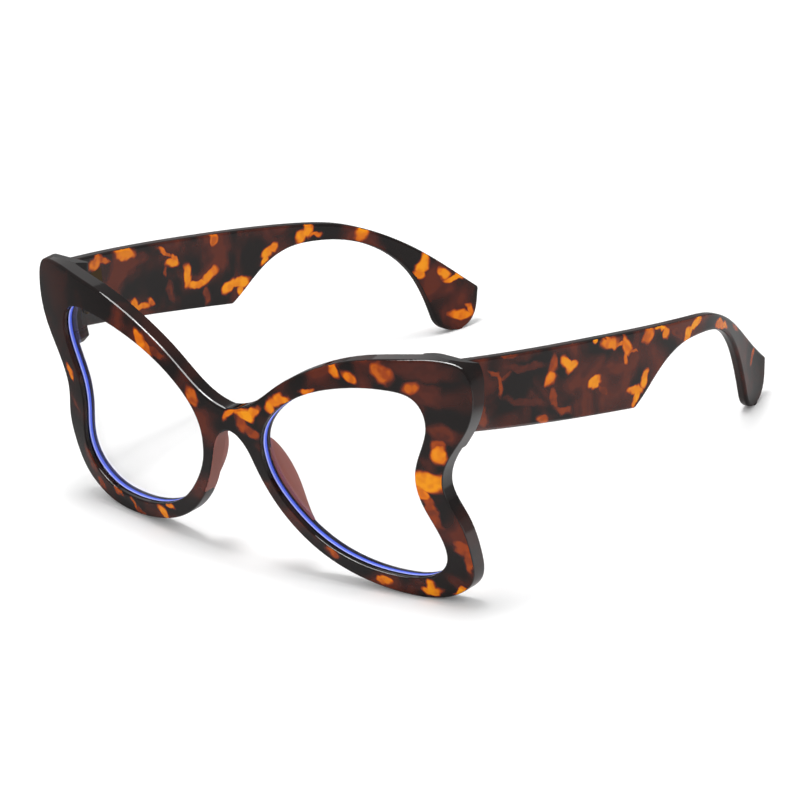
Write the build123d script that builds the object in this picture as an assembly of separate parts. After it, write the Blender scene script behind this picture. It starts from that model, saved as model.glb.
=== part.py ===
from build123d import *
import os
from math import atan2, degrees

os.makedirs("parts", exist_ok=True)

# Whole pair of glasses, standing on its rims and temple tips
front_width = 145.8
front_height = 67.1
rim_thickness = 4.0
edge_round = 0.7
back_round = 0.5
opening_round = 0.35

# Curves of the front, seen from above and from the side
wrap_depth = 10.3
upright_radius = 173.0
upright_height = 47.8
shell_turn = 40
wrap_x_shares = (0.27, 0.55, 0.82, 1.0, 1.06)
wrap_y_shares = (0.04, 0.19, 0.56, 1.0, 1.19)

# Outer edge of one half of the front, from the bridge top round to the nose arch
outline_x_shares = (
    0, 0.112, 0.244, 0.395, 0.574, 0.766, 0.904, 0.974, 1.0, 0.972, 0.887, 0.871,
    0.907, 0.922, 0.897, 0.787, 0.643, 0.466, 0.305, 0.17, 0.096, 0.05, 0)
outline_z_shares = (
    0.65, 0.691, 0.795, 0.89, 0.96, 0.993, 1.0, 0.974, 0.892, 0.738, 0.584, 0.503,
    0.366, 0.229, 0.094, 0.013, 0, 0.032, 0.113, 0.266, 0.43, 0.527, 0.555)

# Opening for one lens
bridge_half = 10.1
rim_side = 12.1
rim_top = 9.0
rim_bottom = 5.4
opening_x_shares = (
    0, 0.032, 0.167, 0.368, 0.609, 0.808, 0.951, 1.0, 0.97, 0.918, 0.931, 0.989,
    0.989, 0.894, 0.71, 0.494, 0.28, 0.105, 0.021)
opening_z_shares = (
    0.518, 0.665, 0.808, 0.917, 0.983, 1.0, 0.966, 0.865, 0.735, 0.587, 0.44, 0.277,
    0.122, 0.033, 0, 0.022, 0.106, 0.269, 0.413)

# Lens in its groove
lens_recess = 1.3
lens_thickness = 1.8
groove_depth = 0.8
groove_clearance = 0.05

# Thick end of the front that carries the hinge
endpiece_width = 14.4
endpiece_bottom = 43.5
endpiece_slope = 3.5
endpiece_corner = 1.8
joint_back = 14.9
joint_lean = 7.0
endpiece_fall = 20.0
fall_start = 10.8

# Temple, from the joint plane back to the tip
joint_gap = 0.2
temple_front = 12.9
temple_reach = 138.8
temple_top = 65.7
temple_thickness = 3.0
temple_round = 0.8
notch_round = 0.6
tip_round = 1.0
temple_set_in = 6.3
temple_bow = 3.6
tip_inset = 15.5
upper_y_shares = (0, 0.231, 0.411, 0.555, 0.649, 0.721, 0.779, 0.883, 0.959)
upper_z_shares = (1.0, 0.884, 0.791, 0.714, 0.661, 0.612, 0.552, 0.393, 0.239)
lower_y_shares = (
    0.442, 0.474, 0.512, 0.555, 0.606, 0.66, 0.714, 0.768, 0.821, 0.859, 0.881, 0.896)
lower_z_shares = (
    0.458, 0.489, 0.534, 0.572, 0.588, 0.575, 0.546, 0.496, 0.411, 0.304, 0.193, 0.079)
tip_y_shares = (0.912, 0.939, 0.966, 0.986, 0.995, 1.0)
tip_z_shares = (0.024, 0, 0.008, 0.049, 0.107, 0.157)
end_z_share = 0.713
bow_y_shares = (0, 0.152, 0.368, 0.584, 0.692, 0.8, 0.872, 0.945, 1.0)
bow_x_shares = (0, 0.77, 0.99, 0.56)
tip_x_shares = (0.043, 0.368, 0.645, 0.888, 1.0)

# Hinge
axis_set_in = 12.3
axis_back = 17.3
knuckle_radius = 1.4
hinge_bottom = 51.4
knuckle_height = 2.4
knuckle_gap = 0.1
leaf_thickness = 0.8
front_leaf_width = 5.2
temple_leaf_length = 9.0
temple_leaf_start = 4.3
tang_inset = 1.2
front_tang_depth = 2.8
temple_tang_depth = 1.0
web_width = 1.5
screw_radius = 0.5
screw_clearance = 0.05
screw_end = 0.4
screw_head_radius = 1.1
screw_head_height = 0.5
slot_width = 0.3
slot_depth = 0.25

# Nose pad, with its heights from the bridge end to the lower end
pad_shares = (0.4875, 0.483, 0.474, 0.462, 0.449, 0.437, 0.4305)
pad_height_shares = (0.16, 0.6, 0.93, 1.0, 0.74, 0.3, 0.06)
pad_height = 5.1
pad_base = 4.6
pad_front_pull = 2.3
pad_back_pull = 3.9
pad_inset = 0.25
pad_root = 0.7

half_width = front_width / 2
hinge_height = 3 * knuckle_height + 2 * knuckle_gap
hinge_top = hinge_bottom + hinge_height
hinge_middle = hinge_bottom + hinge_height / 2
endpiece_inner = half_width - endpiece_width
hinge_half = half_width - temple_set_in
axis_half = half_width - axis_set_in
front_reach = upright_radius / 5


def shared(x_shares, y_shares, width, height, x_start=0.0, y_start=0.0):
    """Points from pairs of shares of a width and a height."""
    return [(x_start + a * width, y_start + b * height) for a, b in zip(x_shares, y_shares)]


def outline_face(points):
    """Flat upright face bounded by one closed spline."""
    with BuildSketch(Plane.XZ) as sketch:
        with BuildLine():
            Spline(*points, periodic=True)
        make_face()
    return sketch.sketch


def through(face):
    """Prism from an upright face, long enough to pass through the whole front."""
    return extrude(face, front_reach, both=True)


def shell(start, depth):
    """Curved layer of the front, from one depth behind its face to another."""
    wrap = shared(wrap_x_shares, wrap_y_shares, half_width, wrap_depth)
    line = [(-x, y) for x, y in reversed(wrap)] + [(0, 0)] + wrap
    near = [(x, y + start) for x, y in line]
    far = [(x, y + start + depth) for x, y in line]
    with BuildSketch(Plane.XY.offset(upright_height)) as sketch:
        with BuildLine():
            Spline(*near)
            Spline(*far)
            Line(near[0], far[0])
            Line(near[-1], far[-1])
        make_face()
    axis = Axis((0, upright_radius, upright_height), (1, 0, 0))
    layer = revolve(sketch.sketch, axis, shell_turn)
    return layer.rotate(axis, -shell_turn / 2)


def box_between(low, high):
    """Box from its lowest to its highest corner."""
    size = [b - a for a, b in zip(low, high)]
    return Pos(*low) * Box(*size, align=(Align.MIN, Align.MIN, Align.MIN))


def other_side(shape):
    """The same piece on the other side of the nose."""
    return mirror(shape, about=Plane.YZ)


# Outline of the front and the opening of one lens
outline_points = shared(outline_x_shares, outline_z_shares, half_width, front_height)
outline_points += [(-x, z) for x, z in reversed(outline_points[1:-1])]
front_outline = outline_face(outline_points)
lens_width = half_width - bridge_half - rim_side
lens_height = front_height - rim_top - rim_bottom


def lens_outline(margin):
    """Upright outline of the opening for one lens, widened all round by a margin."""
    return outline_face(shared(
        opening_x_shares, opening_z_shares, lens_width + 2 * margin, lens_height + 2 * margin,
        bridge_half - margin, rim_bottom - margin))


# Front: rim, bridge and the thick ends for the hinges
with BuildSketch(Plane.XZ) as thick_sketch:
    with BuildLine():
        Polyline(
            (endpiece_inner, front_width),
            (endpiece_inner, endpiece_bottom + endpiece_slope),
            (endpiece_inner + endpiece_slope, endpiece_bottom),
            (front_width, endpiece_bottom),
            (front_width, front_width),
            close=True)
    make_face()
thick_end = through(thick_sketch.sketch)
behind_rim = shell(rim_thickness, front_reach) - thick_end - other_side(thick_end)
leaning = Pos(0, joint_back, hinge_middle) * Rot(-joint_lean, 0, 0)
end_block = box_between(
    (endpiece_inner, -front_width, -front_width), (front_width, 0, front_width))
corner = end_block.edges().filter_by(Axis.Z).sort_by_distance((endpiece_inner, 0, 0))[0]
end_block = leaning * fillet(corner, endpiece_corner)
behind_joint = thick_end - end_block
window = through(lens_outline(0))
seat_layer = shell(lens_recess - groove_clearance, lens_thickness + 2 * groove_clearance)
groove = through(lens_outline(groove_depth + groove_clearance)) & seat_layer
lens = through(lens_outline(groove_depth)) & shell(lens_recess, lens_thickness)
frame = through(front_outline) & shell(0, front_reach)
frame -= behind_rim
frame -= behind_joint + other_side(behind_joint)
frame -= window + other_side(window)
frame -= groove + other_side(groove)
curved = frame.faces().filter_by(GeomType.REVOLUTION).sort_by(Axis.Y)
frame = fillet(curved[0].outer_wire().edges(), edge_round)
curved = frame.faces().filter_by(GeomType.REVOLUTION).sort_by(Axis.Y)
opening_edges = [edge for wire in curved[0].inner_wires() for edge in wire.edges()]
frame = fillet(opening_edges, opening_round)
rear = max(frame.faces().filter_by(GeomType.REVOLUTION), key=lambda face: face.center().Y)
frame = fillet(rear.outer_wire().edges().sort_by(SortBy.LENGTH)[-1], back_round)
# Temple: a side outline cut through a band that bows out and turns in at the tip
upper = shared(upper_y_shares, upper_z_shares, temple_reach, temple_top, temple_front)
lower = shared(lower_y_shares, lower_z_shares, temple_reach, temple_top, temple_front)
tip = shared(tip_y_shares, tip_z_shares, temple_reach, temple_top, temple_front)
with BuildSketch(Plane.YZ) as side_sketch:
    with BuildLine():
        Spline(*upper, tip[-1])
        Spline(lower[-1], *tip)
        Spline(*lower)
        Line(lower[0], (temple_front, temple_top * end_z_share))
        Line((temple_front, temple_top * end_z_share), upper[0])
    make_face()
side_shape = extrude(side_sketch.sketch, front_width)
for corner, radius in ((lower[0], notch_round), (tip[-1], tip_round)):
    crossing = side_shape.edges().filter_by(Axis.X).sort_by_distance((half_width, *corner))[0]
    side_shape = fillet(crossing, radius)
bow = [hinge_half + share * temple_bow for share in bow_x_shares]
bow += [hinge_half - share * tip_inset for share in tip_x_shares]
outside = [(x, temple_front + share * temple_reach) for x, share in zip(bow, bow_y_shares)]
inside = [(x - temple_thickness, y) for x, y in outside]
with BuildSketch(Plane.XY) as plan_sketch:
    with BuildLine():
        Spline(*outside)
        Spline(*inside)
        Line(outside[0], inside[0])
        Line(outside[-1], inside[-1])
    make_face()
temple = side_shape & extrude(plan_sketch.sketch, front_width)
temple -= leaning * box_between(
    (0, -front_width, -front_width), (front_width, joint_gap, front_width))
rounded = [
    edge for edge in temple.edges()
    if edge.length > temple_thickness + temple_round and edge.center().Y > axis_back + temple_thickness]
temple = fillet(rounded, temple_round)

# Hinge leaves and their screw, upright beside the joint plane
middle_bottom = hinge_bottom + knuckle_height + knuckle_gap
middle_top = middle_bottom + knuckle_height


def barrel(radius, low, high):
    """Upright cylinder on the hinge axis."""
    return Pos(axis_half, axis_back, low) * Cylinder(
        radius, high - low, align=(Align.CENTER, Align.CENTER, Align.MIN))


bore = barrel(screw_radius + screw_clearance, 0, front_height)
web_left = axis_half - web_width / 2
web_right = axis_half + web_width / 2
half_leaf = hinge_height / 2
half_tang = half_leaf - tang_inset
leaf_right = web_left + front_leaf_width
front_leaf = leaning * box_between(
    (web_left, -leaf_thickness, -half_leaf), (leaf_right, 0, half_leaf))
front_leaf += leaning * box_between(
    (web_right + tang_inset, -leaf_thickness - front_tang_depth, -half_tang),
    (leaf_right - tang_inset, -leaf_thickness, half_tang))
knuckles = box_between((web_left, 0, hinge_bottom), (web_right, axis_back, hinge_top))
knuckles -= leaning * box_between(
    (0, -front_width, -front_width), (front_width, -leaf_thickness / 2, front_width))
knuckles += barrel(knuckle_radius, hinge_bottom, hinge_top)
knuckles -= box_between(
    (0, 0, middle_bottom - knuckle_gap), (front_width, front_width, middle_top + knuckle_gap))
front_leaf += knuckles
frame -= front_leaf
frame -= Pos(endpiece_inner, fall_start, front_height) * Rot(-endpiece_fall, 0, 0) * box_between(
    (0, 0, 0), (front_width, front_width, front_width))
half_frame = frame & box_between(
    (0, -front_width, -front_width), (front_width, front_width, front_width))
frame = half_frame + other_side(half_frame)
front_leaf -= bore

inner_line = Spline(*inside)
leaf_start = inner_line.position_at(temple_leaf_start, PositionMode.LENGTH)
leaf_end = inner_line.position_at(temple_leaf_start + temple_leaf_length, PositionMode.LENGTH)
splay = degrees(atan2(leaf_end.X - leaf_start.X, leaf_end.Y - leaf_start.Y))
leaf_place = Pos(leaf_start.X, leaf_start.Y, 0) * Rot(0, 0, -splay)
temple_leaf = leaf_place * box_between(
    (0, 0, hinge_bottom), (leaf_thickness, temple_leaf_length, hinge_top))
temple_leaf += leaf_place * box_between(
    (leaf_thickness, tang_inset, hinge_bottom + tang_inset),
    (leaf_thickness + temple_tang_depth, temple_leaf_length - tang_inset, hinge_top - tang_inset))
temple -= temple_leaf
temple_leaf += box_between(
    (axis_half, axis_back, middle_bottom),
    (leaf_start.X + leaf_thickness / 2, axis_back + web_width, middle_top))
temple_leaf += barrel(knuckle_radius, middle_bottom, middle_top)
temple_leaf -= bore

screw = barrel(screw_radius, hinge_bottom + screw_end, hinge_top)
screw += barrel(screw_head_radius, hinge_top, hinge_top + screw_head_height)
screw -= Pos(axis_half, axis_back, hinge_top + screw_head_height) * Box(
    screw_head_radius * 2, slot_width, slot_depth * 2)

# Nose pad: a leaning ridge lofted along the nose edge of the rim
nose_line = Spline(*outline_points, periodic=True)
sections = []
for share, height_share in zip(pad_shares, pad_height_shares):
    point = nose_line.position_at(share)
    along = nose_line.tangent_at(share)
    back = rim_thickness + (point.Y - upright_height) ** 2 / (2 * upright_radius)
    plane = Plane(
        origin=(point.X, back, point.Y), x_dir=(along.Y, 0, -along.X), z_dir=(along.X, 0, along.Y))
    crest = (pad_height * height_share + pad_root / 4) * 4 / 3
    with BuildSketch(plane) as section:
        with BuildLine():
            Bezier(
                (pad_inset, -pad_root), (pad_front_pull, crest),
                (pad_back_pull, crest), (pad_base, -pad_root))
            Line((pad_base, -pad_root), (pad_inset, -pad_root))
        make_face()
    sections.append(section.sketch)
pad = loft(sections) - frame - lens

# Set the whole pair on its origin and write the pieces
pairs = {
    "lens": lens,
    "nose_pad": pad,
    "temple": temple,
    "front_hinge_leaf": front_leaf,
    "temple_hinge_leaf": temple_leaf,
    "hinge_screw": screw,
}
pieces = {"frame_front": frame}
for name, piece in pairs.items():
    pieces[name + "_left"] = piece
    pieces[name + "_right"] = other_side(piece)
spans = [piece.bounding_box() for piece in (frame, side_shape)]
near_end = min(span.min.Y for span in spans)
far_end = max(span.max.Y for span in spans)
home = Pos(0, -(near_end + far_end) / 2, -min(span.min.Z for span in spans))
for name, piece in pieces.items():
    export_step((home * piece).solid(), "parts/" + name + ".step")
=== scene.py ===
"""Butterfly glasses in tortoiseshell acetate: finishes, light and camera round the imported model.

Lengths are in metres and angles in degrees, unless a docstring says something else.
"""

import logging
import math
from dataclasses import dataclass, field
from enum import Enum

import bmesh
import bpy
from mathutils import Matrix, Vector
from mathutils.bvhtree import BVHTree

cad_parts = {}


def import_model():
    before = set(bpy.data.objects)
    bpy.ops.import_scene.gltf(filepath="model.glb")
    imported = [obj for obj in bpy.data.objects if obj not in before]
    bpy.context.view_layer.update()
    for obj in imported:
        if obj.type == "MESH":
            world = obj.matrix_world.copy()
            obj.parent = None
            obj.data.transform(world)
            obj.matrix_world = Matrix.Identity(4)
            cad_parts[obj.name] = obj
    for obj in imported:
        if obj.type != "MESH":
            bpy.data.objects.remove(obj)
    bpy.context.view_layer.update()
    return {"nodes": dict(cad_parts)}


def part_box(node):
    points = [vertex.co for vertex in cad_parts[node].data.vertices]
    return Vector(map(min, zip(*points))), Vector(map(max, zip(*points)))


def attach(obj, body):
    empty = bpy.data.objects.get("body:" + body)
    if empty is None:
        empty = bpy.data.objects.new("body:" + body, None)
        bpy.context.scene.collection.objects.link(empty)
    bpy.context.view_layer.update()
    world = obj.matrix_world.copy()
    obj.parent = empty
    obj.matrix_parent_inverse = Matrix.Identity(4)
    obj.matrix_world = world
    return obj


LOG = logging.getLogger("butterfly_glasses")

Colour = tuple[float, float, float]

WHITE = (1.0, 1.0, 1.0, 1.0)
MM_PER_METRE = 1000
# Space between the nodes of a sheet, in the units of the node editor
COLUMN_WIDTH = 180


def linear(red: int, green: int, blue: int) -> Colour:
    """Turns a display colour into the linear colour that a shader takes.

    Args:
        red: Red from 0 to 255.
        green: Green from 0 to 255.
        blue: Blue from 0 to 255.

    Returns:
        The same colour in linear light.
    """
    channels = []
    for value in (red, green, blue):
        share = value / 255
        if share <= 0.04045:
            channels.append(share / 12.92)
        else:
            channels.append(((share + 0.055) / 1.055) ** 2.4)
    return (channels[0], channels[1], channels[2])


def opaque(colour: Colour) -> tuple[float, float, float, float]:
    """Adds full opacity to a colour.

    Args:
        colour: The colour in linear light.

    Returns:
        The colour with its opacity.
    """
    return (*colour, 1.0)


@dataclass(frozen=True)
class Ramp:
    """A soft ramp, on which low gives start and high gives end."""

    low: float
    high: float
    start: float = 0.0
    end: float = 1.0


@dataclass(frozen=True)
class Grain:
    """How fine a noise is and how much small detail it has."""

    scale: float
    detail: float


class ShaderPaper:
    """A sheet of shader nodes with short ways to add and join them."""

    def __init__(self, tree: bpy.types.NodeTree) -> None:
        """Starts on a node tree.

        Args:
            tree: The node tree.
        """
        self.tree = tree
        self.column = 0

    def add(self, kind: str, **values: object) -> bpy.types.Node:
        """Adds a node and sets its own properties.

        Args:
            kind: Blender's name for the kind of node.
            **values: Properties of the node.

        Returns:
            The new node.
        """
        node = self.tree.nodes.new(kind)
        node.location = (self.column * COLUMN_WIDTH, 0)
        self.column += 1
        for name, value in values.items():
            setattr(node, name, value)
        return node

    def join(self, source: bpy.types.NodeSocket, target: bpy.types.NodeSocket) -> None:
        """Joins one socket to another.

        Args:
            source: The output.
            target: The input.
        """
        self.tree.links.new(source, target)

    def feed(self, target: bpy.types.NodeSocket, value: object) -> None:
        """Joins a socket to an input, or sets the input to a plain value.

        Args:
            target: The input to feed.
            value: A socket, a number or three numbers.
        """
        if isinstance(value, bpy.types.NodeSocket):
            self.join(value, target)
        else:
            target.default_value = value

    def maths(
        self, operation: str, first: object, second: object = 0.0, clamp: bool = False
    ) -> bpy.types.NodeSocket:
        """Adds a node for one operation on numbers.

        Args:
            operation: Blender's name for the operation.
            first: A socket or a number.
            second: A socket or a number.
            clamp: Whether the result is kept between 0 and 1.

        Returns:
            The socket of the result.
        """
        node = self.add("ShaderNodeMath", operation=operation, use_clamp=clamp)
        self.feed(node.inputs[0], first)
        self.feed(node.inputs[1], second)
        return node.outputs[0]

    def vector(
        self, operation: str, first: bpy.types.NodeSocket, second: object
    ) -> bpy.types.NodeSocket:
        """Adds a node for one operation on vectors.

        Args:
            operation: Blender's name for the operation.
            first: The socket of a vector.
            second: A socket or three numbers.

        Returns:
            The socket of the result.
        """
        node = self.add("ShaderNodeVectorMath", operation=operation)
        self.join(first, node.inputs[0])
        self.feed(node.inputs[1], second)
        return node.outputs["Vector"]

    def length(self, vector: bpy.types.NodeSocket) -> bpy.types.NodeSocket:
        """Adds a node for the length of a vector.

        Args:
            vector: The socket of the vector.

        Returns:
            The socket of its length.
        """
        node = self.add("ShaderNodeVectorMath", operation="LENGTH")
        self.join(vector, node.inputs[0])
        return node.outputs["Value"]

    def spread(self, value: bpy.types.NodeSocket, ramp: Ramp) -> bpy.types.NodeSocket:
        """Maps a number along a soft ramp.

        Args:
            value: The socket to map.
            ramp: The ramp.

        Returns:
            The socket of the result.
        """
        node = self.add("ShaderNodeMapRange", interpolation_type="SMOOTHSTEP")
        self.join(value, node.inputs["Value"])
        node.inputs["From Min"].default_value = ramp.low
        node.inputs["From Max"].default_value = ramp.high
        node.inputs["To Min"].default_value = ramp.start
        node.inputs["To Max"].default_value = ramp.end
        return node.outputs["Result"]

    def noise(self, place: bpy.types.NodeSocket, grain: Grain, **values: object) -> bpy.types.Node:
        """Adds a noise.

        Args:
            place: The socket of the place.
            grain: How fine the noise is.
            **values: Properties of the node.

        Returns:
            The new node.
        """
        node = self.add("ShaderNodeTexNoise", **values)
        self.join(place, node.inputs["Vector"])
        node.inputs["Scale"].default_value = grain.scale
        node.inputs["Detail"].default_value = grain.detail
        return node

    def place(self) -> bpy.types.NodeSocket:
        """Adds the place in the object's own space.

        Returns:
            The socket of the place.
        """
        return self.add("ShaderNodeTexCoord").outputs["Object"]

    def axes(self, place: bpy.types.NodeSocket) -> bpy.types.NodeOutputs:
        """Takes a place apart.

        Args:
            place: The socket of the place.

        Returns:
            The sockets of X, Y and Z.
        """
        node = self.add("ShaderNodeSeparateXYZ")
        self.join(place, node.inputs[0])
        return node.outputs

    def group(self, tree: bpy.types.NodeTree, place: bpy.types.NodeSocket) -> bpy.types.Node:
        """Adds a node group that reads a place.

        Args:
            tree: The node group.
            place: The socket of the place.

        Returns:
            The new node.
        """
        node = self.add("ShaderNodeGroup", node_tree=tree)
        self.join(place, node.inputs["Vector"])
        return node

    def blend(
        self, share: object, first: bpy.types.NodeSocket, second: bpy.types.NodeSocket
    ) -> bpy.types.NodeSocket:
        """Blends two shaders.

        Args:
            share: How much of the second shader shows, as a socket or a number.
            first: The socket of the first shader.
            second: The socket of the second shader.

        Returns:
            The socket of the blended shader.
        """
        node = self.add("ShaderNodeMixShader")
        self.feed(node.inputs[0], share)
        self.join(first, node.inputs[1])
        self.join(second, node.inputs[2])
        return node.outputs[0]

    def surface(self, shader: bpy.types.NodeSocket) -> None:
        """Makes a shader the surface of the material.

        Args:
            shader: The socket of the shader.
        """
        self.join(shader, self.tree.nodes["Material Output"].inputs["Surface"])


def new_group(
    name: str, inputs: dict[str, tuple[str, object]], outputs: dict[str, str]
) -> tuple[bpy.types.NodeTree, ShaderPaper, bpy.types.Node, bpy.types.Node]:
    """Makes an empty shader node group.

    Args:
        name: The name of the group.
        inputs: Socket kind and default value of each input, by name.
        outputs: Socket kind of each output, by name.

    Returns:
        The group, its sheet, its input node and its output node.
    """
    group = bpy.data.node_groups.new(name, "ShaderNodeTree")
    for label, (kind, value) in inputs.items():
        socket = group.interface.new_socket(name=label, in_out="INPUT", socket_type=kind)
        if value is not None:
            socket.default_value = value
    for label, kind in outputs.items():
        group.interface.new_socket(name=label, in_out="OUTPUT", socket_type=kind)
    paper = ShaderPaper(group)
    return group, paper, paper.add("NodeGroupInput"), paper.add("NodeGroupOutput")


def new_material(name: str) -> tuple[bpy.types.Material, ShaderPaper, bpy.types.Node]:
    """Makes a material that holds one Principled shader.

    Args:
        name: The name of the material.

    Returns:
        The material, its sheet and the Principled shader.
    """
    material = bpy.data.materials.new(name)
    material.use_nodes = True
    paper = ShaderPaper(material.node_tree)
    return material, paper, material.node_tree.nodes["Principled BSDF"]


SMEAR_GRAIN = Grain(90, 3)
SMEAR_RAMP = Ramp(0.45, 0.75)
WAVE_GRAIN = Grain(160, 1)


def handling_marks() -> bpy.types.NodeTree:
    """Builds the fine unevenness of a polished surface that has been handled.

    Returns:
        A group that gives a roughness and a height.
    """
    group, paper, inside, out = new_group(
        "handling_marks",
        {
            "Vector": ("NodeSocketVector", None),
            "Roughness": ("NodeSocketFloat", 0.06),
            "Variation": ("NodeSocketFloat", 0.04),
        },
        {"Roughness": "NodeSocketFloat", "Height": "NodeSocketFloat"},
    )
    smear = paper.noise(inside.outputs["Vector"], SMEAR_GRAIN)
    amount = paper.spread(smear.outputs["Fac"], SMEAR_RAMP)
    extra = paper.maths("MULTIPLY", amount, inside.outputs["Variation"])
    paper.join(paper.maths("ADD", inside.outputs["Roughness"], extra), out.inputs["Roughness"])
    wave = paper.noise(inside.outputs["Vector"], WAVE_GRAIN)
    paper.join(wave.outputs["Fac"], out.inputs["Height"])
    return group


def polish(
    paper: ShaderPaper, shader: bpy.types.Node, marks: bpy.types.NodeTree, roughness: float
) -> bpy.types.Node:
    """Gives a shader the roughness of a polished surface that has been handled.

    Args:
        paper: The sheet of the material.
        shader: The shader.
        marks: The handling marks group.
        roughness: The roughness where nothing has touched the surface.

    Returns:
        The node of the handling marks.
    """
    node = paper.group(marks, paper.place())
    node.inputs["Roughness"].default_value = roughness
    paper.join(node.outputs["Roughness"], shader.inputs["Roughness"])
    return node


@dataclass(frozen=True)
class PhotoCamera:
    """Camera where the photograph was taken from. Its sensor is in millimetres."""

    azimuth: float = 43.032
    elevation: float = 23.677
    roll: float = -5.498
    distance: float = 1.2424
    target: tuple[float, float, float] = (0.018351, -0.031838, 0.032926)
    focal_pixels: float = 4927.4
    picture_pixels: float = 800.0
    sensor: float = 36.0
    nearest: float = 0.01
    farthest: float = 50

    def axes(self) -> tuple[Vector, Vector, Vector]:
        """Works out where the camera's right side, top and back point.

        Returns:
            The three directions.
        """
        turn = math.radians(self.azimuth)
        rise = math.radians(self.elevation)
        lean = math.radians(self.roll)
        level = math.cos(rise)
        back = Vector((math.sin(turn) * level, -math.cos(turn) * level, math.sin(rise)))
        right = Vector((math.cos(turn), math.sin(turn), 0))
        up = back.cross(right)
        leant_right = right * math.cos(lean) + up * math.sin(lean)
        leant_up = up * math.cos(lean) - right * math.sin(lean)
        return leant_right, leant_up, back

    def place(self) -> Vector:
        """Works out where the camera stands.

        Returns:
            The place.
        """
        return Vector(self.target) + self.axes()[2] * self.distance

    def sight(self, pixel: tuple[float, float]) -> Vector:
        """Works out where the line of sight through a pixel points.

        Args:
            pixel: Pixels from the left and from the top of the picture.

        Returns:
            The direction.
        """
        right, up, back = self.axes()
        across = (pixel[0] - self.picture_pixels / 2) / self.focal_pixels
        down = (pixel[1] - self.picture_pixels / 2) / self.focal_pixels
        return right * across - up * down - back

    def build(self) -> None:
        """Sets up the camera."""
        lens = bpy.data.cameras.new("photo_camera")
        lens.sensor_width = self.sensor
        lens.lens = self.focal_pixels / self.picture_pixels * self.sensor
        lens.clip_start = self.nearest
        lens.clip_end = self.farthest
        camera = bpy.data.objects.new("photo_camera", lens)
        bpy.context.scene.collection.objects.link(camera)
        turn = Matrix(self.axes()).transposed().to_4x4()
        camera.matrix_world = Matrix.Translation(self.place()) @ turn
        bpy.context.scene.camera = camera


PHOTO_CAMERA = PhotoCamera()


@dataclass(frozen=True)
class Stroke:
    """One brush of lighter colour in the acetate, chosen in the photograph.

    Its start, end and width are in pixels. Its warmth runs from 0 for black to 1 for amber.
    """

    start: tuple[float, float]
    end: tuple[float, float]
    width: float
    warmth: float


@dataclass(frozen=True)
class Fleck:
    """One brush of lighter colour as it lies on a piece, in millimetres and degrees."""

    along: float
    up: float
    length: float
    width: float
    turn: float
    warmth: float


@dataclass(frozen=True)
class SideView:
    """How the side of a piece shows in the photograph.

    The axis is the one that runs along the piece. The steps are about how many pixels, to the
    right and down, one millimetre along the piece and one millimetre up take. The end share is
    how far a fleck reaches past each end of its stroke, as a share of its width.
    """

    axis: str
    step_along: tuple[float, float]
    step_up: tuple[float, float] = (-0.38, -3.68)
    end_share: float = 0.3

    def flecks(self, piece: bpy.types.Object, strokes: tuple[Stroke, ...]) -> list[Fleck]:
        """Finds where strokes of the photograph lie on a piece.

        Args:
            piece: The piece.
            strokes: The strokes.

        Returns:
            The flecks.
        """
        places = [vertex.co for vertex in piece.data.vertices]
        faces = [tuple(face.vertices) for face in piece.data.polygons]
        surface = BVHTree.FromPolygons(places, faces)
        eye = PHOTO_CAMERA.place()
        flecks = []
        for stroke in strokes:
            start = surface.ray_cast(eye, PHOTO_CAMERA.sight(stroke.start))[0]
            end = surface.ray_cast(eye, PHOTO_CAMERA.sight(stroke.end))[0]
            if start is None or end is None:
                LOG.warning("%s has nothing at %s", piece.name, stroke)
                continue
            flecks.append(self.fleck(start, end, stroke))
        LOG.info("%s takes %d flecks", piece.name, len(flecks))
        return flecks

    def fleck(self, start: Vector, end: Vector, stroke: Stroke) -> Fleck:
        """Lays one stroke flat on the side of a piece.

        Args:
            start: Where its start lies on the piece.
            end: Where its end lies on the piece.
            stroke: The stroke.

        Returns:
            The fleck.
        """
        number = "XYZ".index(self.axis)
        near = Vector((start[number], start.z)) * MM_PER_METRE
        far = Vector((end[number], end.z)) * MM_PER_METRE
        middle = (near + far) / 2
        run = far - near
        turn = math.atan2(run.y, run.x)
        step_along, step_up = Vector(self.step_along), Vector(self.step_up)
        seen_step = step_along * math.cos(turn) + step_up * math.sin(turn)
        width = stroke.width * seen_step.length / abs(step_along.cross(step_up))
        length = run.length + 2 * self.end_share * width
        return Fleck(middle.x, middle.y, length, width, math.degrees(turn), stroke.warmth)


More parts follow.
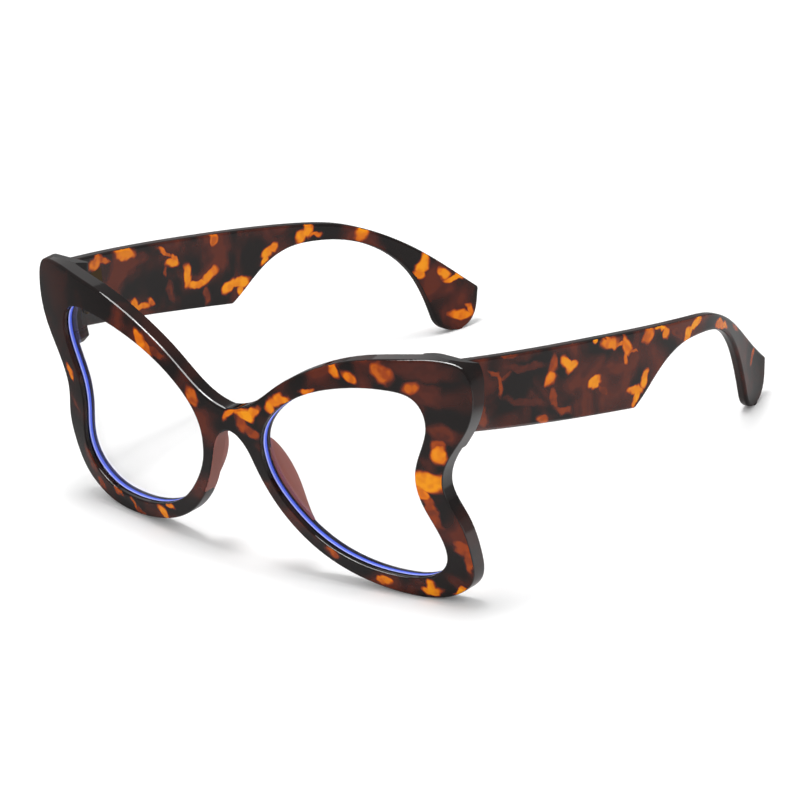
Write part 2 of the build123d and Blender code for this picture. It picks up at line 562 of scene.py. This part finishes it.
FRONT_STROKES = (
    Stroke((137, 331), (143, 345), 7, 0.85),
    Stroke((143, 340), (150, 352), 4, 0.60),
    Stroke((150, 347), (162, 356), 5, 0.35),
    Stroke((188, 391), (194, 403), 6, 0.60),
    Stroke((67, 364), (72, 375), 5, 0.90),
    Stroke((72, 398), (80, 412), 3, 0.30),
    Stroke((87, 450), (95, 470), 6, 0.30),
    Stroke((101, 480), (105, 488), 6, 0.45),
    Stroke((115, 487), (121, 493), 4, 0.55),
    Stroke((131, 499), (136, 508), 3, 0.60),
    Stroke((138, 510), (146, 514), 6, 0.35),
    Stroke((160, 506), (167, 516), 5, 0.90),
    Stroke((167, 505), (172, 506), 4, 0.90),
    Stroke((224, 418), (235, 413), 5, 0.75),
    Stroke((233, 411), (246, 411), 5, 0.75),
    Stroke((238, 415), (248, 416), 8, 1.00),
    Stroke((246, 416), (257, 409), 6, 0.90),
    Stroke((240, 420), (244, 432), 7, 0.50),
    Stroke((246, 430), (256, 437), 6, 0.45),
    Stroke((268, 408), (272, 402), 8, 0.90),
    Stroke((272, 401), (287, 399), 7, 0.90),
    Stroke((301, 390), (311, 388), 6, 0.75),
    Stroke((328, 367), (331, 367), 4, 0.85),
    Stroke((330, 368), (335, 376), 6, 0.80),
    Stroke((344, 373), (354, 378), 6, 0.75),
    Stroke((376, 372), (388, 374), 12, 0.60),
    Stroke((404, 390), (415, 387), 9, 0.60),
    Stroke((395, 366), (440, 372), 14, 0.22),
    Stroke((415, 392), (438, 398), 12, 0.25),
    Stroke((436, 432), (452, 440), 10, 0.28),
    Stroke((437, 446), (440, 450), 7, 0.50),
    Stroke((438, 452), (439, 460), 9, 0.90),
    Stroke((420, 482), (441, 482), 14, 1.00),
    Stroke((418, 488), (424, 498), 5, 0.80),
    Stroke((424, 498), (432, 512), 5, 0.50),
    Stroke((430, 510), (440, 527), 5, 0.40),
    Stroke((455, 543), (466, 552), 8, 0.45),
    Stroke((466, 552), (473, 572), 4, 0.50),
    Stroke((330, 550), (335, 556), 6, 0.55),
    Stroke((378, 579), (384, 582), 5, 0.75),
    Stroke((384, 578), (388, 582), 7, 0.80),
    Stroke((425, 590), (440, 592), 6, 0.95),
    Stroke((432, 584), (432, 590), 7, 0.95),
    Stroke((456, 594), (466, 590), 5, 1.00),
    Stroke((462, 588), (462, 591), 5, 0.90),
)
LEFT_TEMPLE_STROKES = (
    Stroke((489, 373), (498, 377), 3, 0.40),
    Stroke((498, 377), (501, 395), 3, 0.45),
    Stroke((501, 383), (509, 374), 3, 0.35),
    Stroke((505, 368), (540, 366), 6, 0.25),
    Stroke((500, 358), (518, 356), 4, 0.35),
    Stroke((556, 358), (552, 372), 6, 0.50),
    Stroke((547, 382), (553, 377), 8, 0.85),
    Stroke((565, 358), (568, 368), 6, 0.95),
    Stroke((568, 367), (576, 364), 8, 0.95),
    Stroke((552, 392), (556, 406), 5, 0.40),
    Stroke((556, 408), (570, 412), 6, 0.40),
    Stroke((540, 418), (548, 421), 6, 0.60),
    Stroke((510, 400), (545, 404), 6, 0.25),
    Stroke((590, 385), (600, 379), 6, 0.95),
    Stroke((594, 386), (598, 383), 7, 0.95),
    Stroke((604, 344), (616, 342), 8, 0.80),
    Stroke((609, 338), (611, 345), 6, 0.80),
    Stroke((616, 343), (624, 345), 4, 0.75),
    Stroke((624, 340), (630, 350), 7, 0.80),
    Stroke((627, 350), (627, 362), 3, 0.70),
    Stroke((630, 350), (638, 352), 2, 0.60),
    Stroke((593, 341), (597, 340), 3, 1.00),
    Stroke((600, 385), (606, 395), 4, 0.35),
    Stroke((630, 390), (640, 390), 7, 1.00),
    Stroke((642, 384), (648, 374), 6, 1.00),
    Stroke((638, 392), (634, 404), 5, 1.00),
    Stroke((645, 340), (652, 331), 8, 0.70),
    Stroke((656, 328), (665, 327), 3, 1.00),
    Stroke((665, 329), (667, 334), 6, 0.80),
    Stroke((686, 338), (692, 328), 5, 1.00),
    Stroke((692, 328), (700, 320), 6, 1.00),
    Stroke((717, 324), (726, 324), 6, 0.80),
    Stroke((733, 323), (738, 332), 4, 0.50),
    Stroke((753, 352), (751, 364), 4, 0.55),
    Stroke((672, 328), (686, 339), 6, 0.30),
    Stroke((480, 405), (484, 425), 7, 0.35),
)
RIGHT_TEMPLE_STROKES = (
    Stroke((92, 266), (98, 262), 9, 0.75),
    Stroke((98, 262), (108, 262), 5, 0.60),
    Stroke((117, 252), (131, 255), 9, 0.80),
    Stroke((161, 248), (170, 255), 4, 0.70),
    Stroke((166, 263), (178, 262), 7, 0.90),
    Stroke((172, 254), (178, 262), 5, 0.80),
    Stroke((187, 268), (189, 285), 6, 0.90),
    Stroke((190, 286), (205, 282), 6, 0.90),
    Stroke((204, 280), (216, 270), 7, 0.85),
    Stroke((211, 236), (215, 243), 6, 0.70),
    Stroke((225, 290), (232, 283), 7, 1.00),
    Stroke((232, 283), (247, 282), 7, 1.00),
    Stroke((240, 287), (241, 293), 5, 1.00),
    Stroke((132, 304), (138, 308), 8, 0.80),
    Stroke((138, 308), (148, 306), 6, 0.85),
    Stroke((150, 300), (152, 304), 5, 0.70),
    Stroke((164, 268), (166, 276), 3, 0.40),
    Stroke((170, 285), (172, 300), 5, 0.30),
    Stroke((206, 290), (207, 299), 6, 0.35),
    Stroke((262, 256), (270, 250), 7, 0.95),
    Stroke((270, 248), (277, 243), 6, 0.95),
    Stroke((266, 257), (262, 264), 4, 0.95),
    Stroke((299, 240), (306, 232), 6, 0.95),
    Stroke((306, 226), (308, 235), 6, 0.90),
    Stroke((310, 236), (322, 235), 3, 0.70),
    Stroke((360, 228), (362, 236), 9, 0.90),
    Stroke((421, 270), (427, 258), 5, 0.95),
    Stroke((418, 276), (422, 272), 5, 0.90),
    Stroke((438, 270), (445, 276), 8, 0.90),
    Stroke((446, 280), (462, 278), 5, 0.95),
    Stroke((455, 276), (460, 276), 5, 0.90),
    Stroke((450, 314), (470, 314), 8, 0.80),
    Stroke((468, 305), (472, 312), 4, 0.70),
)

# The noises that make the borders of the flecks uneven, and how far each one moves them
RAGGED_BORDERS = ((Grain(150, 1), 0.0034), (Grain(360, 1), 0.0019))
NOISE_MIDDLE = (0.5, 0.5, 0.5)
# A fleck's length and width in millimetres, divided by these, are its half axes in metres
LENGTH_PER_AXIS = 1850
WIDTH_PER_AXIS = 1500
# Where a fleck starts and where it has its full warmth, in half axes from its middle
FLECK_START = 1.5
FLECK_FULL = 0.68
# How uneven the flecks are inside
DEPTH_GRAIN = Grain(330, 1)
DEPTH_RAMP = Ramp(0.35, 0.6, 0.84, 1.04)


def fleck_map(name: str, axis: str, flecks: list[Fleck]) -> bpy.types.NodeTree:
    """Builds the map of the flecks that run through one piece.

    Args:
        name: The name of the group.
        axis: The axis that runs along the piece, X or Y.
        flecks: The flecks.

    Returns:
        A group that gives the warmth at a place in the material.
    """
    group, paper, inside, out = new_group(
        name, {"Vector": ("NodeSocketVector", None)}, {"Warmth": "NodeSocketFloat"}
    )
    axes = paper.axes(inside.outputs["Vector"])
    side = paper.add("ShaderNodeCombineXYZ")
    paper.join(axes[axis], side.inputs["X"])
    paper.join(axes["Z"], side.inputs["Y"])
    flat = side.outputs[0]
    place = flat
    for grain, reach in RAGGED_BORDERS:
        ragged = paper.noise(flat, grain)
        centred = paper.vector("SUBTRACT", ragged.outputs["Color"], NOISE_MIDDLE)
        shift = paper.vector("MULTIPLY", centred, (reach, reach, reach))
        place = paper.vector("ADD", place, shift)
    warmth = None
    for fleck in flecks:
        local = paper.add("ShaderNodeMapping", vector_type="TEXTURE")
        paper.join(place, local.inputs["Vector"])
        middle = (fleck.along / MM_PER_METRE, fleck.up / MM_PER_METRE, 0)
        local.inputs["Location"].default_value = middle
        local.inputs["Rotation"].default_value = (0, 0, math.radians(fleck.turn))
        half_axes = (fleck.length / LENGTH_PER_AXIS, fleck.width / WIDTH_PER_AXIS, 1)
        local.inputs["Scale"].default_value = half_axes
        away = paper.length(local.outputs[0])
        own = paper.spread(away, Ramp(FLECK_START, FLECK_FULL, 0.0, fleck.warmth))
        warmth = own if warmth is None else paper.maths("MAXIMUM", warmth, own)
    depth = paper.noise(flat, DEPTH_GRAIN)
    uneven = paper.spread(depth.outputs["Fac"], DEPTH_RAMP)
    paper.join(paper.maths("MULTIPLY", warmth, uneven, clamp=True), out.inputs["Warmth"])
    return group


CLOUD_GRAIN = Grain(80, 2.5)
CLOUD_ROUGHNESS = 0.5
CLOUD_DISTORTION = 0.6
CLOUD_RAMP = Ramp(0.43, 0.64)
# The colours of the acetate by their warmth
ACETATE_COLOURS = (
    (0.0, linear(18, 11, 10)),
    (0.25, linear(78, 30, 20)),
    (0.5, linear(158, 62, 8)),
    (0.72, linear(224, 112, 0)),
    (1.0, linear(246, 154, 0)),
)


def tortoise_colours() -> bpy.types.NodeTree:
    """Builds the clouds and colours of tortoiseshell acetate.

    Returns:
        A group that gives a colour from a place in the material and the warmth of its flecks.
    """
    group, paper, inside, out = new_group(
        "tortoise_colours",
        {
            "Vector": ("NodeSocketVector", None),
            "Seed": ("NodeSocketFloat", 0.0),
            "Clouds": ("NodeSocketFloat", 0.3),
            "Warmth": ("NodeSocketFloat", 0.0),
        },
        {"Color": "NodeSocketColor"},
    )
    cloud = paper.noise(inside.outputs["Vector"], CLOUD_GRAIN, noise_dimensions="4D")
    paper.join(inside.outputs["Seed"], cloud.inputs["W"])
    cloud.inputs["Roughness"].default_value = CLOUD_ROUGHNESS
    cloud.inputs["Distortion"].default_value = CLOUD_DISTORTION
    share = paper.spread(cloud.outputs["Fac"], CLOUD_RAMP)
    brown = paper.maths("MULTIPLY", share, inside.outputs["Clouds"])
    warmth = paper.maths("MAXIMUM", brown, inside.outputs["Warmth"])
    colours = paper.add("ShaderNodeValToRGB")
    paper.join(warmth, colours.inputs["Fac"])
    stops = colours.color_ramp.elements
    first, *between, last = ACETATE_COLOURS
    stops[0].position, stops[0].color = first[0], opaque(first[1])
    stops[1].position, stops[1].color = last[0], opaque(last[1])
    for position, colour in between:
        stops.new(position).color = opaque(colour)
    paper.join(colours.outputs["Color"], out.inputs["Color"])
    return group


# The clouds along the front, which fade towards its end on the wearer's right
CALM_END_RAMP = Ramp(-0.058, -0.036, 0.08, 0.28)


@dataclass(frozen=True)
class AcetateFinish:
    """Polished tortoiseshell acetate of one piece."""

    name: str
    view: SideView
    seed: float
    strokes: tuple[Stroke, ...]
    calm_end: bool = False
    face_clouds: float = 0.28
    # Warmth of the clouds on the walls, lower than on the faces: painted shade that darkens the
    # walls
    painted_shade_wall_clouds: float = 0.07
    roughness: float = 0.045
    bump_strength: float = 0.05
    bump_height: float = 0.0002
    ior: float = 1.5

    def faces(
        self, piece: bpy.types.Object, colours: bpy.types.NodeTree, marks: bpy.types.NodeTree
    ) -> bpy.types.Material:
        """Makes the material of the broad faces, where the flecks show.

        Args:
            piece: The piece.
            colours: The tortoise colours group.
            marks: The handling marks group.

        Returns:
            The material.
        """
        material, paper, shader = new_material(self.name)
        tortoise = self.colour(paper, shader, colours, self.face_clouds)
        self.gloss(paper, shader, marks)
        flecks = self.view.flecks(piece, self.strokes)
        tree = fleck_map(self.name + "_flecks", self.view.axis, flecks)
        spots = paper.group(tree, paper.place())
        paper.join(spots.outputs["Warmth"], tortoise.inputs["Warmth"])
        if self.calm_end:
            calm = paper.spread(paper.axes(paper.place())["X"], CALM_END_RAMP)
            paper.join(calm, tortoise.inputs["Clouds"])
        return material

    def walls(self, colours: bpy.types.NodeTree, marks: bpy.types.NodeTree) -> bpy.types.Material:
        """Makes the material of the narrow walls: no flecks and fewer warm clouds than the faces,
        so the walls look darker, which is painted shade.

        Args:
            colours: The tortoise colours group.
            marks: The handling marks group.

        Returns:
            The material.
        """
        material, paper, shader = new_material(self.name + "_wall")
        self.colour(paper, shader, colours, self.painted_shade_wall_clouds)
        self.gloss(paper, shader, marks)
        return material

    def colour(
        self,
        paper: ShaderPaper,
        shader: bpy.types.Node,
        colours: bpy.types.NodeTree,
        clouds: float,
    ) -> bpy.types.Node:
        """Joins the colour of the acetate to a shader.

        Args:
            paper: The sheet of the material.
            shader: The Principled shader.
            colours: The tortoise colours group.
            clouds: The warmth of the clouds.

        Returns:
            The node of the colours.
        """
        tortoise = paper.group(colours, paper.place())
        tortoise.inputs["Seed"].default_value = self.seed
        tortoise.inputs["Clouds"].default_value = clouds
        paper.join(tortoise.outputs["Color"], shader.inputs["Base Color"])
        return tortoise

    def gloss(
        self, paper: ShaderPaper, shader: bpy.types.Node, marks: bpy.types.NodeTree
    ) -> None:
        """Joins the polish of the acetate to a shader.

        Args:
            paper: The sheet of the material.
            shader: The Principled shader.
            marks: The handling marks group.
        """
        handled = polish(paper, shader, marks, self.roughness)
        bump = paper.add("ShaderNodeBump")
        bump.inputs["Strength"].default_value = self.bump_strength
        bump.inputs["Distance"].default_value = self.bump_height
        paper.join(handled.outputs["Height"], bump.inputs["Height"])
        paper.join(bump.outputs["Normal"], shader.inputs["Normal"])
        shader.inputs["IOR"].default_value = self.ior


@dataclass(frozen=True)
class LensFinish:
    """Clear lens that mirrors a little of the room on both of its faces."""

    name: str = "lens_clear"
    least_mirror: float = 0.04
    steepness: float = 5.0
    roughness: float = 0.0
    variation: float = 0.03

    def build(self, marks: bpy.types.NodeTree) -> bpy.types.Material:
        """Makes the material.

        Args:
            marks: The handling marks group.

        Returns:
            The material.
        """
        material, paper, shader = new_material(self.name)
        material.node_tree.nodes.remove(shader)
        clear = paper.add("ShaderNodeBsdfTransparent")
        gloss = paper.add("ShaderNodeBsdfGlossy")
        handled = polish(paper, gloss, marks, self.roughness)
        handled.inputs["Variation"].default_value = self.variation
        weight = paper.add("ShaderNodeLayerWeight")
        steep = paper.maths("POWER", weight.outputs["Facing"], self.steepness)
        more = paper.maths("MULTIPLY", steep, 1 - self.least_mirror)
        mirror = paper.maths("ADD", more, self.least_mirror)
        paper.surface(paper.blend(mirror, clear.outputs[0], gloss.outputs[0]))
        return material


@dataclass(frozen=True)
class EdgeFinish:
    """One strip of painted light: the colours that light makes in the ground edge of a lens, with
    a painted glow for the light that the lens carries to its edge.
    """

    name: str
    colour: Colour
    painted_glow: float
    roughness: float = 0.2
    specular: float = 0.1

    def build(self, marks: bpy.types.NodeTree) -> bpy.types.Material:
        """Makes the material.

        Args:
            marks: The handling marks group.

        Returns:
            The material.
        """
        material, paper, shader = new_material(self.name)
        polish(paper, shader, marks, self.roughness)
        shader.inputs["Base Color"].default_value = opaque(self.colour)
        # Emission: a painted glow for the light carried through the lens to its edge
        shader.inputs["Emission Color"].default_value = opaque(self.colour)
        shader.inputs["Emission Strength"].default_value = self.painted_glow
        shader.inputs["Specular IOR Level"].default_value = self.specular
        return material


@dataclass(frozen=True)
class PadFinish:
    """Translucent rosy acetate of the nose pads."""

    name: str = "pad_rosy_acetate"
    colour: Colour = field(default_factory=lambda: linear(178, 118, 108))
    inner: Colour = field(default_factory=lambda: linear(206, 132, 120))
    through_share: float = 0.45
    roughness: float = 0.16

    def build(self, marks: bpy.types.NodeTree) -> bpy.types.Material:
        """Makes the material.

        Args:
            marks: The handling marks group.

        Returns:
            The material.
        """
        material, paper, shader = new_material(self.name)
        polish(paper, shader, marks, self.roughness)
        shader.inputs["Base Color"].default_value = opaque(self.colour)
        through = paper.add("ShaderNodeBsdfTranslucent")
        through.inputs["Color"].default_value = opaque(self.inner)
        paper.surface(paper.blend(self.through_share, shader.outputs[0], through.outputs[0]))
        return material


@dataclass(frozen=True)
class MetalFinish:
    """Plated metal of the hinges."""

    name: str
    colour: Colour
    roughness: float

    def build(self, marks: bpy.types.NodeTree) -> bpy.types.Material:
        """Makes the material.

        Args:
            marks: The handling marks group.

        Returns:
            The material.
        """
        material, paper, shader = new_material(self.name)
        polish(paper, shader, marks, self.roughness)
        shader.inputs["Base Color"].default_value = opaque(self.colour)
        shader.inputs["Metallic"].default_value = 1.0
        return material


def wear(node: bpy.types.Object, material: bpy.types.Material) -> None:
    """Gives a piece one material.

    Args:
        node: The piece.
        material: The material.
    """
    node.data.materials.clear()
    node.data.materials.append(material)
    for face in node.data.polygons:
        face.material_index = 0


def add_finish(node: bpy.types.Object, material: bpy.types.Material) -> int:
    """Adds one more material to a piece.

    Args:
        node: The piece.
        material: The material.

    Returns:
        The number that its faces take for this material.
    """
    node.data.materials.append(material)
    return len(node.data.materials) - 1


# A face belongs to a wall when less than this of its normal looks along the plate's axis
WALL_NORMAL = 0.62


def part_walls(node: bpy.types.Object, axis: int, material: bpy.types.Material) -> None:
    """Gives the narrow walls of a plate their own darker finish, which is painted shade.

    Args:
        node: The plate.
        axis: The axis that the broad faces look along, 0 for X or 1 for Y.
        material: The finish of the walls.
    """
    number = add_finish(node, material)
    for face in node.data.polygons:
        if abs(face.normal[axis]) < WALL_NORMAL:
            face.material_index = number


# The walls beside the nose look inwards, and lie in this half width and between these heights
NOSE_WALL_NORMAL = -0.55
NOSE_HALF_WIDTH = 0.0135
NOSE_BOTTOM = 0.0155
NOSE_TOP = 0.0365


def spread_over_nose_walls(front: bpy.types.Object, material: bpy.types.Material) -> None:
    """Gives the walls of the front beside the nose the finish of the pads that run into them.

    Args:
        front: The front.
        material: The finish of the pads.
    """
    number = add_finish(front, material)
    count = 0
    for face in front.data.polygons:
        side = 1 if face.center.x > 0 else -1
        looks_inwards = face.normal.x * side < NOSE_WALL_NORMAL
        is_near = abs(face.center.x) < NOSE_HALF_WIDTH
        if looks_inwards and is_near and NOSE_BOTTOM < face.center.z < NOSE_TOP:
            face.material_index = number
            count += 1
    LOG.info("nose walls take %d faces", count)


class Side(Enum):
    """Side of the wearer."""

    LEFT = "left"
    RIGHT = "right"


@dataclass
class LensEdge:
    """Strips of painted light for the ground edge of a lens as it shows through the lens, just
    inside the rim's opening.
    """

    side: Side
    lens: bpy.types.Object
    inset: float = 0.00087
    depth: float = 0.00175
    shares: tuple[float, ...] = (0.0, 0.1, 0.36, 0.7, 0.84, 1.0)
    face_normal: float = -0.6
    edge_normal: float = 0.5
    weld: float = 1e-6

    def front_loop(self) -> list[Vector]:
        """Finds the line where the front face of the lens meets its edge.

        Returns:
            The points of the line in order.
        """
        shape = bmesh.new()
        shape.from_mesh(self.lens.data)
        bmesh.ops.remove_doubles(shape, verts=shape.verts, dist=self.weld)
        shape.normal_update()
        next_to: dict[bmesh.types.BMVert, list[bmesh.types.BMVert]] = {}
        for edge in shape.edges:
            normals = sorted(face.normal.y for face in edge.link_faces)
            if len(normals) != 2:
                continue
            if normals[0] < self.face_normal and abs(normals[1]) < self.edge_normal:
                first, second = edge.verts
                next_to.setdefault(first, []).append(second)
                next_to.setdefault(second, []).append(first)
        start = next(iter(next_to))
        order = [start]
        before, here = start, next_to[start][0]
        while here is not start:
            order.append(here)
            ahead = [vert for vert in next_to[here] if vert is not before]
            before, here = here, ahead[0]
        points = [vert.co.copy() for vert in order]
        shape.free()
        return points

    def rings(self, points: list[Vector]) -> list[list[Vector]]:
        """Places the lines between the strips.

        Args:
            points: The line where the front face of the lens meets its edge.

        Returns:
            The points of each line, from the front of the lens to its back.
        """
        low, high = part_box(self.lens.name)
        middle = (Vector(low) + Vector(high)) / 2
        width, height = high[0] - low[0], high[2] - low[2]
        inwards = 2 * self.inset
        closer = Vector(((width - inwards) / width, 1, (height - inwards) / height))
        rings = []
        for share in self.shares:
            ring = []
            for point in points:
                place = middle + (point - middle) * closer
                place.y = point.y + share * self.depth
                ring.append(place)
            rings.append(ring)
        return rings

    def build(self, finishes: list[bpy.types.Material]) -> bpy.types.Object:
        """Makes the strips of the edge.

        Args:
            finishes: One material for each strip, from the front of the lens to its back.

        Returns:
            The new piece.
        """
        points = self.front_loop()
        shape = bmesh.new()
        rings = [[shape.verts.new(place) for place in ring] for ring in self.rings(points)]
        for number, (near, far) in enumerate(zip(rings, rings[1:])):
            for index in range(len(points)):
                following = (index + 1) % len(points)
                quad = (near[index], near[following], far[following], far[index])
                face = shape.faces.new(quad)
                face.material_index = number
                face.smooth = True
        bmesh.ops.recalc_face_normals(shape, faces=shape.faces)
        mesh = bpy.data.meshes.new("lens_edge_" + self.side.value)
        shape.to_mesh(mesh)
        shape.free()
        for finish in finishes:
            mesh.materials.append(finish)
        edge = bpy.data.objects.new(mesh.name, mesh)
        bpy.context.scene.collection.objects.link(edge)
        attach(edge, "front")
        LOG.info("built %s from %d points", edge.name, len(points))
        return edge


FRONT_VIEW = SideView("X", (3.0, 0.8))
TEMPLE_VIEW = SideView("Y", (2.66, -1.42))
FRONT_FINISH = AcetateFinish("tortoise_front", FRONT_VIEW, 1.0, FRONT_STROKES, calm_end=True)
TEMPLE_FINISHES = {
    Side.LEFT: AcetateFinish("tortoise_temple_left", TEMPLE_VIEW, 4.0, LEFT_TEMPLE_STROKES),
    Side.RIGHT: AcetateFinish("tortoise_temple_right", TEMPLE_VIEW, 9.0, RIGHT_TEMPLE_STROKES),
}
# The hinge leaves are plated gold, darkened well below it as painted shade, so that they fade into
# the shade behind the end pieces
LEAF_FINISH = MetalFinish("hinge_gold_painted_shade", linear(92, 74, 50), 0.3)
SCREW_FINISH = MetalFinish("screw_steel", linear(196, 196, 194), 0.25)
# Painted light in the lens edge: navy, violet-white and blue bands, the lighter ones with a
# painted glow
EDGE_FINISHES = (
    EdgeFinish("edge_navy_front", linear(16, 14, 52), 0.0),
    EdgeFinish("edge_violet_white", linear(166, 176, 255), 0.3),
    EdgeFinish("edge_blue", linear(88, 112, 236), 0.3),
    EdgeFinish("edge_deep_blue", linear(40, 52, 160), 0.1),
    EdgeFinish("edge_navy_back", linear(8, 8, 32), 0.0),
)


@dataclass
class Glasses:
    """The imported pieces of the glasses, their finishes and the edges of their lenses."""

    nodes: dict[str, bpy.types.Object]

    def dress(self) -> None:
        """Gives every piece its finish."""
        colours = tortoise_colours()
        marks = handling_marks()
        lens = LensFinish().build(marks)
        pad = PadFinish().build(marks)
        leaf = LEAF_FINISH.build(marks)
        screw = SCREW_FINISH.build(marks)
        edges = [finish.build(marks) for finish in EDGE_FINISHES]
        front = self.nodes["frame_front"]
        wear(front, FRONT_FINISH.faces(front, colours, marks))
        part_walls(front, 1, FRONT_FINISH.walls(colours, marks))
        spread_over_nose_walls(front, pad)
        for side, finish in TEMPLE_FINISHES.items():
            temple = self.nodes["temple_" + side.value]
            wear(temple, finish.faces(temple, colours, marks))
            part_walls(temple, 0, finish.walls(colours, marks))
            wear(self.nodes["lens_" + side.value], lens)
            wear(self.nodes["nose_pad_" + side.value], pad)
            wear(self.nodes["front_hinge_leaf_" + side.value], leaf)
            wear(self.nodes["temple_hinge_leaf_" + side.value], leaf)
            wear(self.nodes["hinge_screw_" + side.value], screw)
            LensEdge(side, self.nodes["lens_" + side.value]).build(edges)
            LOG.info("dressed the %s side", side.value)


@dataclass(frozen=True)
class Floor:
    """Plain pale floor, whiter to the camera and darker where polished faces mirror it."""

    half: float = 6.0
    colour: Colour = (0.95, 0.95, 0.95)
    lift: Ramp = Ramp(0.3, 1.0, 0.05, 0.4)
    mirror_loss: Ramp = Ramp(-0.13, 0.03, 0.82, 0.6)
    bright_beside: Ramp = Ramp(0.05, 0.075)
    bright_depth: Ramp = Ramp(0.02, 0.04, 0.6, 0.0)
    bright_middle: float = -0.032

    def build(self) -> None:
        """Lays the floor."""
        mesh = bpy.data.meshes.new("studio_floor")
        shape = bmesh.new()
        bmesh.ops.create_grid(shape, x_segments=1, y_segments=1, size=self.half)
        shape.to_mesh(mesh)
        shape.free()
        floor = bpy.data.objects.new("studio_floor", mesh)
        bpy.context.scene.collection.objects.link(floor)
        mesh.materials.append(self.material())

    def material(self) -> bpy.types.Material:
        """Makes the material of the floor.

        Returns:
            The material.
        """
        material, paper, shader = new_material("floor_white")
        shader.inputs["Base Color"].default_value = opaque(self.colour)
        shader.inputs["Roughness"].default_value = 1.0
        shader.inputs["Specular IOR Level"].default_value = 0.0
        place = paper.place()
        light = paper.add("ShaderNodeEmission")
        light.inputs["Color"].default_value = WHITE
        paper.join(paper.spread(paper.length(place), self.lift), light.inputs["Strength"])
        both = paper.add("ShaderNodeAddShader")
        paper.join(shader.outputs[0], both.inputs[0])
        paper.join(light.outputs[0], both.inputs[1])
        dark = paper.add("ShaderNodeEmission")
        dark.inputs["Strength"].default_value = 0.0
        seen = paper.add("ShaderNodeLightPath")
        lifted = paper.blend(seen.outputs["Is Camera Ray"], shader.outputs[0], both.outputs[0])
        darker = paper.maths("MULTIPLY", seen.outputs["Is Glossy Ray"], self.loss(paper, place))
        paper.surface(paper.blend(darker, lifted, dark.outputs[0]))
        return material

    def loss(self, paper: ShaderPaper, place: bpy.types.NodeSocket) -> bpy.types.NodeSocket:
        """Works out how much light the floor loses in mirrored views of it.

        Args:
            paper: The sheet of the material.
            place: The socket of the place on the floor.

        Returns:
            The socket of the share that is lost.
        """
        axes = paper.axes(place)
        past_middle = paper.maths("SUBTRACT", axes["Y"], self.bright_middle)
        off_middle = paper.maths("ABSOLUTE", past_middle)
        bright = paper.maths(
            "MULTIPLY",
            paper.spread(axes["X"], self.bright_beside),
            paper.spread(off_middle, self.bright_depth),
        )
        loss = paper.spread(axes["X"], self.mirror_loss)
        return paper.maths("SUBTRACT", loss, bright, clamp=True)


@dataclass(frozen=True)
class Room:
    """Light from all round, white to the camera and darker where polished faces mirror it."""

    strength: float = 0.74
    mirrored_share: float = 0.38

    def build(self) -> None:
        """Makes the world."""
        world = bpy.data.worlds.new("studio_world")
        bpy.context.scene.world = world
        world.use_nodes = True
        paper = ShaderPaper(world.node_tree)
        background = world.node_tree.nodes["Background"]
        background.inputs["Color"].default_value = WHITE
        seen = paper.add("ShaderNodeLightPath")
        loss = self.strength * (self.mirrored_share - 1)
        mirrored = paper.maths("MULTIPLY", seen.outputs["Is Glossy Ray"], loss)
        lighting = paper.maths("ADD", mirrored, self.strength)
        looked_at = paper.maths("MAXIMUM", seen.outputs["Is Camera Ray"], lighting)
        paper.join(looked_at, background.inputs["Strength"])


@dataclass(frozen=True)
class SoftBox:
    """Rectangular lamp that faces the glasses. With glints, it only shows in polished faces."""

    name: str
    place: tuple[float, float, float]
    size: tuple[float, float]
    watts: float
    glints: bool = False
    aim: tuple[float, float, float] = (0.0, 0.0, 0.03)

    def build(self) -> None:
        """Hangs the lamp."""
        light = bpy.data.lights.new(self.name, "AREA")
        light.shape = "RECTANGLE"
        light.size, light.size_y = self.size
        light.energy = self.watts
        lamp = bpy.data.objects.new(self.name, light)
        bpy.context.scene.collection.objects.link(lamp)
        place = Vector(self.place)
        turn = (Vector(self.aim) - place).to_track_quat("-Z", "Y").to_matrix().to_4x4()
        lamp.matrix_world = Matrix.Translation(place) @ turn
        lamp.visible_diffuse = not self.glints


SOFT_BOXES = (
    SoftBox("top_box", (0.0, -0.1, 1.2), (0.35, 0.35), 8),
    SoftBox("rear_box", (-0.95, 1.0, 0.65), (1.0, 0.7), 0.8),
    SoftBox("glint_box", (0.0, -0.15, 1.2), (1.4, 0.9), 44, glints=True),
)


@dataclass(frozen=True)
class Studio:
    """Everything round the glasses."""

    floor: Floor = Floor()
    room: Room = Room()
    boxes: tuple[SoftBox, ...] = SOFT_BOXES
    camera: PhotoCamera = PHOTO_CAMERA

    def build(self) -> None:
        """Builds the whole studio."""
        self.floor.build()
        self.room.build()
        for box in self.boxes:
            box.build()
        self.camera.build()
        bpy.context.scene.view_settings.view_transform = "Standard"
        LOG.info("studio is ready")


def main() -> None:
    """Dresses the glasses."""
    logging.basicConfig(level=logging.INFO)
    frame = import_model()
    Glasses(frame["nodes"]).dress()
    Studio().build()


if __name__ == "__main__":
    main()
